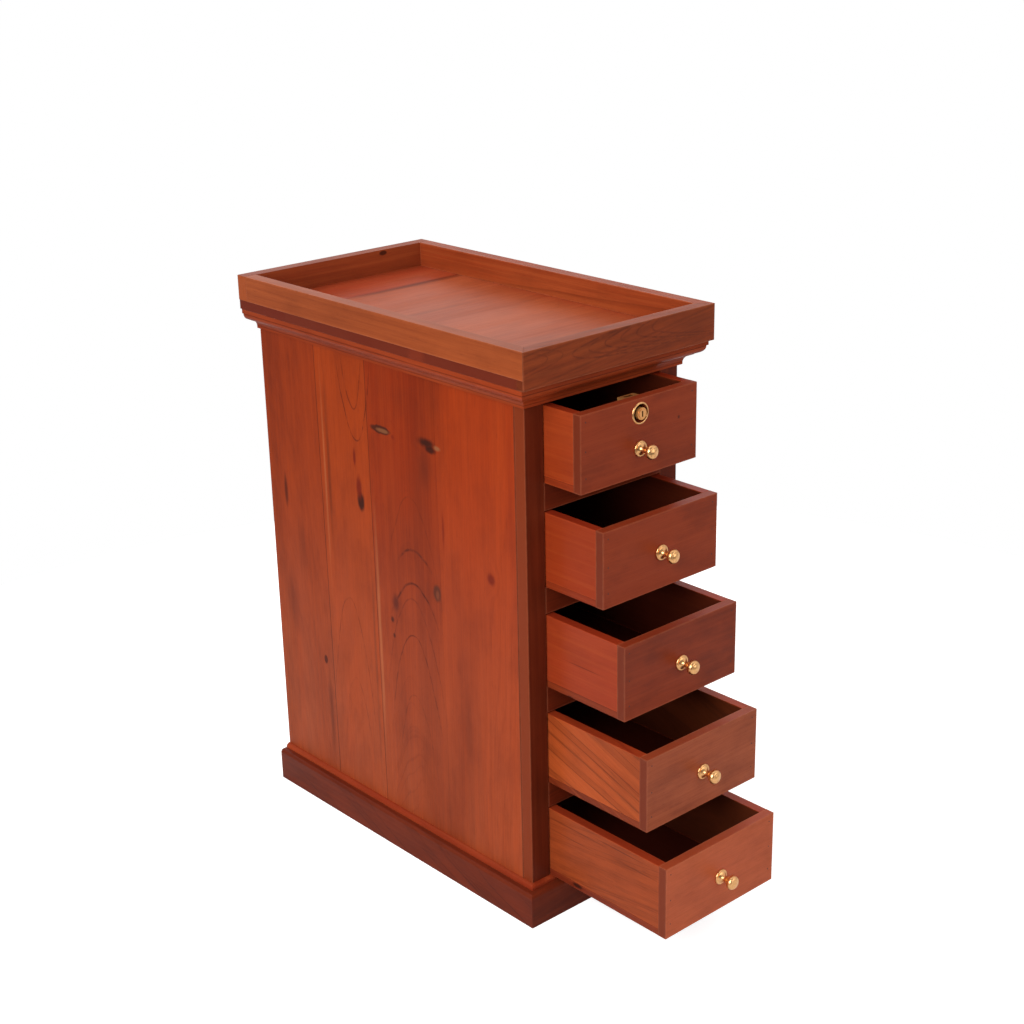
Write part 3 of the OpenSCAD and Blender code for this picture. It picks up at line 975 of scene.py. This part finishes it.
@dataclass
class Drawer:
    """One drawer: five boards, a turned knob and the filled nail holes at both ends of its front."""

    number: int
    front: StainedWood
    side: StainedWood
    bottom: Colour
    half_width: float = 78 * MM
    board: float = 10 * MM
    hole: float = 0.75 * MM
    holes_in: float = 6.5 * MM
    hole_heights: tuple[float, ...] = (0.19, 0.53, 0.9)

    def part(self, name: str) -> str:
        """Gives the name of one of the drawer's nodes."""
        return f"drawer_{self.number}_{name}"

    def dress(self) -> None:
        """Dresses the drawer's boards."""
        low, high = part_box(self.part("front"))
        inner = self.half_width - self.board
        # Spans of painted shade: the back face of the front and the inner faces of the sides
        back = (1, high.y - 0.1 * MM, high.y + 1.0)
        between = (0, -inner - 0.1 * MM, inner + 0.1 * MM)
        dress_wood(self.part("front"), replace(self.front, inside=(back,)), 1.8 * MM)
        for seed, hand in enumerate(("left", "right")):
            dress_wood(self.part("side_" + hand), replace(
                self.side, inside=(between,), seed=self.side.seed + 4.0 * seed), 0.8 * MM)
        # The drawer's back and the top face of its bottom get the painted shade too
        dress_wood(self.part("back"), replace(self.side, along=Axis.X, inside=((1, 0.0, 0.9),)), 0.6 * MM)
        bottom = replace(
            self.side, along=Axis.Y, tint=self.bottom, line=seen(84, 28, 14), seed=self.side.seed + 9.0,
            inside=((2, low.z + 6.9 * MM, low.z + 1.0),), arris_share=0.0)
        dress_wood(self.part("bottom"), bottom, 0.3 * MM)

    def build(self, filler: Material) -> None:
        """Sets the filled nail holes into the drawer's front.

        Args:
            filler: the finish of the holes.
        """
        low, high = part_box(self.part("front"))
        shape = bmesh.new()
        for x in (-self.half_width + self.holes_in, self.half_width - self.holes_in):
            for share in self.hole_heights:
                centre = Vector((x, low.y, low.z + share * (high.z - low.z)))
                place = Matrix.Translation(centre) @ Matrix.Rotation(math.radians(90), 4, "X")
                bmesh.ops.create_uvsphere(shape, u_segments=12, v_segments=8, radius=self.hole,
                                          matrix=place @ Matrix.Diagonal((1.0, 1.0, 0.12, 1.0)))
        add_piece(self.part("nails"), shape, filler, f"drawer_{self.number}")


def turned(profile: tuple[tuple[float, float], ...], centre: Vector, steps: int = 64) -> bmesh.types.BMesh:
    """Turns a closed section about an axis through a centre that points out of the drawers' fronts.

    Args:
        profile: the section's corners, as distance from the axis and reach towards the front.
        centre: a point of the axis, where the reach is 0.
        steps: faces round the axis.

    Returns:
        The turned mesh.
    """
    shape = bmesh.new()
    corners = [shape.verts.new(centre + Vector((far, -out, 0.0))) for far, out in profile]
    whole = profile[0][0] > 0.0
    pairs = zip(corners, corners[1:] + corners[:1]) if whole else zip(corners, corners[1:])
    edges = [shape.edges.new(pair) for pair in pairs]
    bmesh.ops.spin(shape, geom=corners + edges, cent=centre, axis=(0.0, 1.0, 0.0), angle=math.tau,
                   steps=steps, use_merge=True)
    bmesh.ops.remove_doubles(shape, verts=shape.verts, dist=0.01 * MM)
    return shape


def add_piece(name: str, shape: bmesh.types.BMesh, material: Material, body: str) -> bpy.types.Object:
    """Makes an object of a finished mesh and sets it on its body.

    Args:
        name: the piece's name.
        shape: the mesh, which is freed here.
        material: its finish.
        body: the CAD body that it rides on.

    Returns:
        The new object.
    """
    bmesh.ops.recalc_face_normals(shape, faces=shape.faces)
    mesh = bpy.data.meshes.new(name)
    shape.to_mesh(mesh)
    shape.free()
    mesh.shade_smooth()
    mesh.materials.append(material)
    piece = bpy.data.objects.new(name, mesh)
    bpy.context.scene.collection.objects.link(piece)
    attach(piece, body)
    LOG.info("%s: built", name)
    return piece


@dataclass
class Knob:
    """A turned knob: a stepped rose, a waisted neck and a domed head with a beaded face."""

    section: tuple[tuple[float, float], ...] = (
        (0.0, 0.0), (7.9, 0.0), (7.98, 0.6), (7.75, 1.3), (7.2, 1.75), (6.6, 1.7), (6.1, 1.85), (5.2, 2.7),
        (4.1, 3.7), (3.3, 5.0), (3.0, 6.8), (3.05, 8.4), (3.5, 10.0), (4.4, 11.2), (5.6, 12.0), (6.6, 12.9),
        (7.15, 14.1), (7.24, 15.4), (6.95, 16.8), (6.3, 17.9), (5.5, 18.6), (4.9, 18.75), (4.4, 18.7),
        (3.6, 19.2), (2.2, 19.75), (0.0, 19.95))

    def build(self, number: int, brass: Material) -> None:
        """Builds the knob of one drawer over its plain CAD shape.

        Args:
            number: the drawer's number.
            brass: the knob's finish.
        """
        node = f"drawer_{number}_knob"
        low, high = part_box(node)
        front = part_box(f"drawer_{number}_front")[0].y
        centre = Vector(((low.x + high.x) / 2, front, (low.z + high.z) / 2))
        shape = turned(tuple((far * MM, out * MM) for far, out in self.section), centre)
        piece = add_piece(f"drawer_{number}_turned_knob", shape, brass, f"drawer_{number}")
        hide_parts(node)


@dataclass
class Escutcheon:
    """The rounded brass ring let into the top drawer's front around the lock."""

    section: tuple[tuple[float, float], ...] = (
        (9.02, -0.5), (9.02, 0.35), (9.2, 0.8), (9.6, 1.05), (10.1, 1.0), (10.6, 0.7), (10.9, 0.3),
        (10.98, 0.0), (10.98, -0.5))

    def build(self, brass: Material) -> None:
        """Builds the ring over its plain CAD shape.

        Args:
            brass: the ring's finish.
        """
        low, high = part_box("lock_ring")
        centre = Vector(((low.x + high.x) / 2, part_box("drawer_1_front")[0].y, (low.z + high.z) / 2))
        shape = turned(tuple((far * MM, out * MM) for far, out in self.section), centre, 96)
        piece = add_piece("lock_escutcheon", shape, brass, "drawer_1")
        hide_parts("lock_ring")


@dataclass
class Drawers:
    """The five drawers, each cut from boards of its own, and the top one's lock."""

    # The near-black inside colour is painted shade in the drawers
    board: StainedWood = replace(RED_BROWN, painted_shade_tint=seen(20, 9, 6), end_share=0.35, shade=0.2)
    bottoms: tuple[Colour, ...] = (
        seen(150, 52, 22), seen(134, 44, 20), seen(124, 46, 24), seen(120, 42, 20), seen(122, 44, 24))
    lock_height: float = 530.5 * MM
    well_radius: float = 9.6 * MM

    def fronts(self) -> list[StainedWood]:
        """Gives the finishes of the five front boards.

        Returns:
            The finishes from the top down, with the grain across the drawers.
        """
        ends = both_sides(seen(108, 42, 22), 0.85)
        across = replace(
            self.board, along=Axis.X, ring=0.006, figure=0.1, arris_share=0.15, mottle=0.35, blotch=0.4,
            glow=seen(160, 68, 36), line=seen(96, 34, 18), faces=(FaceTint(2, 1, seen(136, 50, 26)), *ends))
        knot = Mark((0.053, -0.05, 0.515), (0.0022, 0.2, 0.0026), seen(60, 24, 14), 0.8, core=0.2,
                    bend=0.003)
        # A near-black disc of painted shade in the bore of the lock's well
        well = Mark((0.0, -0.05, self.lock_height), (0.0095, 0.08, 0.0095), seen(16, 8, 6), 0.97, core=0.93,
                    bend=0.0)
        return [
            replace(across, tint=seen(150, 59, 30), heart=(0.10, 0.60), seed=1.4, marks=(knot, well)),
            replace(across, tint=seen(146, 56, 27), heart=(0.08, 0.30), seed=5.3),
            replace(across, tint=seen(138, 52, 25), heart=(0.00, 0.18), seed=9.7, figure=0.25, ring=0.004,
                    blotch=0.6),
            replace(across, tint=seen(164, 80, 48), heart=(-0.02, 0.30), seed=12.9, figure=0.1,
                    glow=seen(178, 92, 56)),
            replace(across, tint=seen(188, 88, 52), heart=(-0.25, 0.02), seed=17.1, ring=0.008, figure=0.2,
                    glow=seen(192, 96, 58), line=seen(128, 52, 26)),
        ]

    def sides(self) -> list[StainedWood]:
        """Gives the finishes of the drawers' side boards.

        Returns:
            The finishes from the top down, with the grain along the drawers.
        """
        # The sides' pale arris colour is wear plus a painted highlight
        along = replace(
            self.board, along=Axis.Y, ring=0.007, figure=0.1, arris_share=0.2, mottle=0.2,
            glow=seen(180, 80, 36), line=seen(112, 38, 18), arris_wear_and_highlight=seen(190, 76, 36),
            faces=(FaceTint(2, 1, seen(142, 38, 18)),))
        face, black = -78 * MM, seen(42, 16, 10)
        knot = Mark((face, -0.040, 0.0462), (0.008, 0.0085, 0.0030), black, core=0.4)
        spot = Mark((face, -0.0315, 0.2552), (0.008, 0.006, 0.0016), black, core=0.2, bend=0.0)
        thread = Mark((face, -0.050, 0.2925), (0.012, 0.040, 0.0008), seen(88, 30, 15), 0.7, core=0.1,
                      bend=0.0)
        lines = ((-0.105, 0.1125, 0.055, 0.7), (-0.040, 0.1085, 0.060, 0.6), (-0.030, 0.0960, 0.050, 0.45),
                 (-0.120, 0.1010, 0.045, 0.4))
        wavy = tuple(Mark((face, y, z), (0.012, reach, 0.0011), seen(70, 26, 13), share, core=0.1, bend=0.0)
                     for y, z, reach, share in lines)
        return [
            replace(along, tint=seen(164, 60, 24), heart=(-0.10, 0.70), seed=2.4),
            replace(along, tint=seen(150, 50, 20), heart=(-0.09, 0.34), seed=6.6),
            replace(along, tint=seen(154, 54, 26), heart=(-0.09, 0.10), seed=8.1, marks=(spot, thread)),
            # The lower drawers get a lighter painted shade inside, because more light reaches them
            replace(along, tint=seen(182, 80, 36), heart=(-0.30, 0.10), seed=14.2, lean=-0.42, figure=0.75,
                    line=seen(74, 26, 12), glow=seen(188, 92, 44), painted_shade_tint=seen(30, 13, 8)),
            replace(along, tint=seen(160, 70, 34), heart=(-0.12, 0.16), seed=19.5, figure=0.4, taper=-0.12,
                    line=seen(76, 28, 14), marks=(knot, *wavy), painted_shade_tint=seen(50, 22, 13)),
        ]

    def dress(self) -> None:
        """Dresses and builds every drawer and the lock."""
        knob = Brass("knob_brass").material()
        filler = FilledHole().material()
        for number, boards in enumerate(zip(self.fronts(), self.sides(), self.bottoms), start=1):
            drawer = Drawer(number, *boards)
            drawer.dress()
            drawer.build(filler)
            Knob().build(number, knob)
        low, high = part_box("drawer_1_front")
        # The block of the lock case that is seen down the well, where the painted shade goes
        middle, half = (low.y + high.y) / 2 + 0.6 * MM, (high.y - low.y) / 2 - 0.2 * MM
        well = ((0.0, middle, self.lock_height), (self.well_radius, half, self.well_radius))
        Escutcheon().build(Brass("lock_ring_brass").material())
        for node, brass in {
            "lock_case": Brass("lock_case_metal", seen(230, 160, 92), metal=0.7, well=well),
            "lock_plug": Brass("lock_plug_brass", seen(236, 170, 108)),
            "lock_bolt": Brass("lock_bolt_brass", seen(190, 150, 90), roughness=0.3),
            "lock_screws": Brass("lock_screw_brass", seen(180, 140, 84), roughness=0.3),
        }.items():
            paint(node, brass.material())


@dataclass(frozen=True)
class Lamp:
    """A square soft lamp: where it hangs, its width in metres and its power in watts.

    mirrored is whether the lacquer and the brass mirror it.
    """

    name: str
    place: Place
    width: float
    power: float
    mirrored: bool = True

    def hang(self, target: Place) -> None:
        """Hangs the lamp.

        Args:
            target: the point it faces.
        """
        data = bpy.data.lights.new(self.name, "AREA")
        data.size, data.energy = self.width, self.power
        lamp = bpy.data.objects.new(self.name, data)
        bpy.context.scene.collection.objects.link(lamp)
        lamp.location = self.place
        lamp.visible_glossy = self.mirrored
        lamp.rotation_mode = "QUATERNION"
        lamp.rotation_quaternion = (Vector(target) - Vector(self.place)).to_track_quat("-Z", "Y")


@dataclass
class Studio:
    """The camera as fitted to the photograph, the lamps, the floor and the backdrop."""

    turn: float = 41.475
    tilt: float = 20.389
    roll: float = -1.244
    aim: Place = (0.0, 0.1778, 0.254)
    shift_right: float = -0.02528
    shift_up: float = -0.1103
    distance: float = 1.92085
    lens: float = 62.304
    sensor: float = 36.0
    floor_radius: float = 1.1
    floor_centre: Place = (0.0, 0.12, 0.0)
    floor_tints: tuple[Colour, Colour] = ((0.60, 0.60, 0.59), (0.64, 0.64, 0.63))
    floor_glow: float = 0.75
    floor_mirrored: float = 0.25
    ambient: float = 0.42
    bright_side: Place = (0.85, 0.5, 0.25)
    middle: Place = (0.0, 0.15, 0.3)
    lamps: tuple[Lamp, ...] = (
        Lamp("key", (-2.2, -0.7, 1.5), 1.6, 62.0),
        Lamp("front", (0.5, -2.4, 1.1), 1.6, 16.0),
        Lamp("top", (-0.3, 0.9, 2.4), 1.6, 14.0),
        Lamp("fill", (2.1, 1.7, 1.3), 1.8, 48.0, mirrored=False),
    )

    def camera(self) -> None:
        """Sets the camera at the photograph's viewpoint."""
        turn, tilt, roll = (math.radians(v) for v in (self.turn, self.tilt, self.roll))
        ahead = Vector((math.sin(turn) * math.cos(tilt), math.cos(turn) * math.cos(tilt), -math.sin(tilt)))
        level = Vector((math.cos(turn), -math.sin(turn), 0.0))
        upright = level.cross(ahead)
        right = math.cos(roll) * level + math.sin(roll) * upright
        up = math.cos(roll) * upright - math.sin(roll) * level
        place = Vector(self.aim) - self.shift_right * right - self.shift_up * up - self.distance * ahead
        data = bpy.data.cameras.new("camera")
        data.lens, data.sensor_width, data.sensor_fit = self.lens, self.sensor, "HORIZONTAL"
        camera = bpy.data.objects.new("camera", data)
        bpy.context.scene.collection.objects.link(camera)
        camera.matrix_world = Matrix((
            (right.x, up.x, -ahead.x, place.x), (right.y, up.y, -ahead.y, place.y),
            (right.z, up.z, -ahead.z, place.z), (0.0, 0.0, 0.0, 1.0)))
        bpy.context.scene.camera = camera

    def floor(self) -> None:
        """Lays a round pale sheet that the camera sees white, with the chest's shadow on it."""
        shape = bmesh.new()
        bmesh.ops.create_circle(shape, cap_ends=True, segments=96, radius=self.floor_radius,
                                matrix=Matrix.Translation(self.floor_centre))
        mesh = bpy.data.meshes.new("floor")
        shape.to_mesh(mesh)
        shape.free()
        piece = bpy.data.objects.new("floor", mesh)
        bpy.context.scene.collection.objects.link(piece)
        r = Recipe("floor_sheet")
        shade = r.wash(*self.floor_tints, r.noise(r.place(), TOOTH), TOOTH, 1.0)
        matt = r.node("BsdfDiffuse", {"Color": shade}).outputs[0]
        glow = r.node("Emission", {"Color": (1.0, 1.0, 1.0, 1.0), "Strength": self.floor_glow}).outputs[0]
        lifted = r.node("AddShader", {0: matt, 1: glow}).outputs[0]
        ray = r.node("LightPath", {}).outputs
        mirrored = r.sum("MAXIMUM", ray["Is Glossy Ray"], ray["Is Transmission Ray"])
        shown = r.sum("MAXIMUM", ray["Is Camera Ray"], r.sum("MULTIPLY", mirrored, self.floor_mirrored))
        mesh.materials.append(r.finish(r.node("MixShader", {0: shown, 1: matt, 2: lifted}).outputs[0]))

    def world(self) -> None:
        """Lights the room softly from above, with a white backdrop for camera, metal and glass."""
        world = bpy.data.worlds.new("studio")
        bpy.context.scene.world = world
        r = Recipe(world)
        ray = r.node("LightPath", {}).outputs
        way = r.node("TexCoord", {}).outputs["Generated"]
        height = r.split(way)[2]
        room = r.ease(height, -0.3, 0.9, 0.15 * self.ambient, self.ambient)
        behind = r.ease(r.vector("DOT_PRODUCT", way, self.bright_side), -0.3, 0.3, 0.1, 0.9)
        horizon = r.ease(r.sum("ABSOLUTE", r.sum("ADD", height, 0.02)), 0.0, 0.22, 0.45, 1.0)
        backdrop = r.sum("MULTIPLY", behind, horizon)
        shown = r.sum("MAXIMUM", ray["Is Glossy Ray"], ray["Is Transmission Ray"])
        level = r.node("Mix", {0: shown, 2: room, 3: backdrop}, data_type="FLOAT").outputs[0]
        level = r.node("Mix", {0: ray["Is Camera Ray"], 2: level, 3: 1.0}, data_type="FLOAT").outputs[0]
        glow = r.node("Background", {"Color": (1.0, 1.0, 1.0, 1.0), "Strength": level})
        r.node("OutputWorld", {"Surface": glow.outputs[0]})

    def build(self) -> None:
        """Sets up the whole studio."""
        bpy.context.scene.view_settings.view_transform = "Standard"
        self.camera()
        self.floor()
        self.world()
        for lamp in self.lamps:
            lamp.hang(self.middle)


def main() -> None:
    """Builds and dresses the chest, piece by piece."""
    logging.basicConfig(level=logging.INFO, format="%(name)s %(message)s")
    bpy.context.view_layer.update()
    Studio().build()
    for assembly in (Carcass(), Tray(), Mouldings(), Drawers()):
        assembly.dress()
        LOG.info("%s is dressed", type(assembly).__name__)


if __name__ == "__main__":
    main()
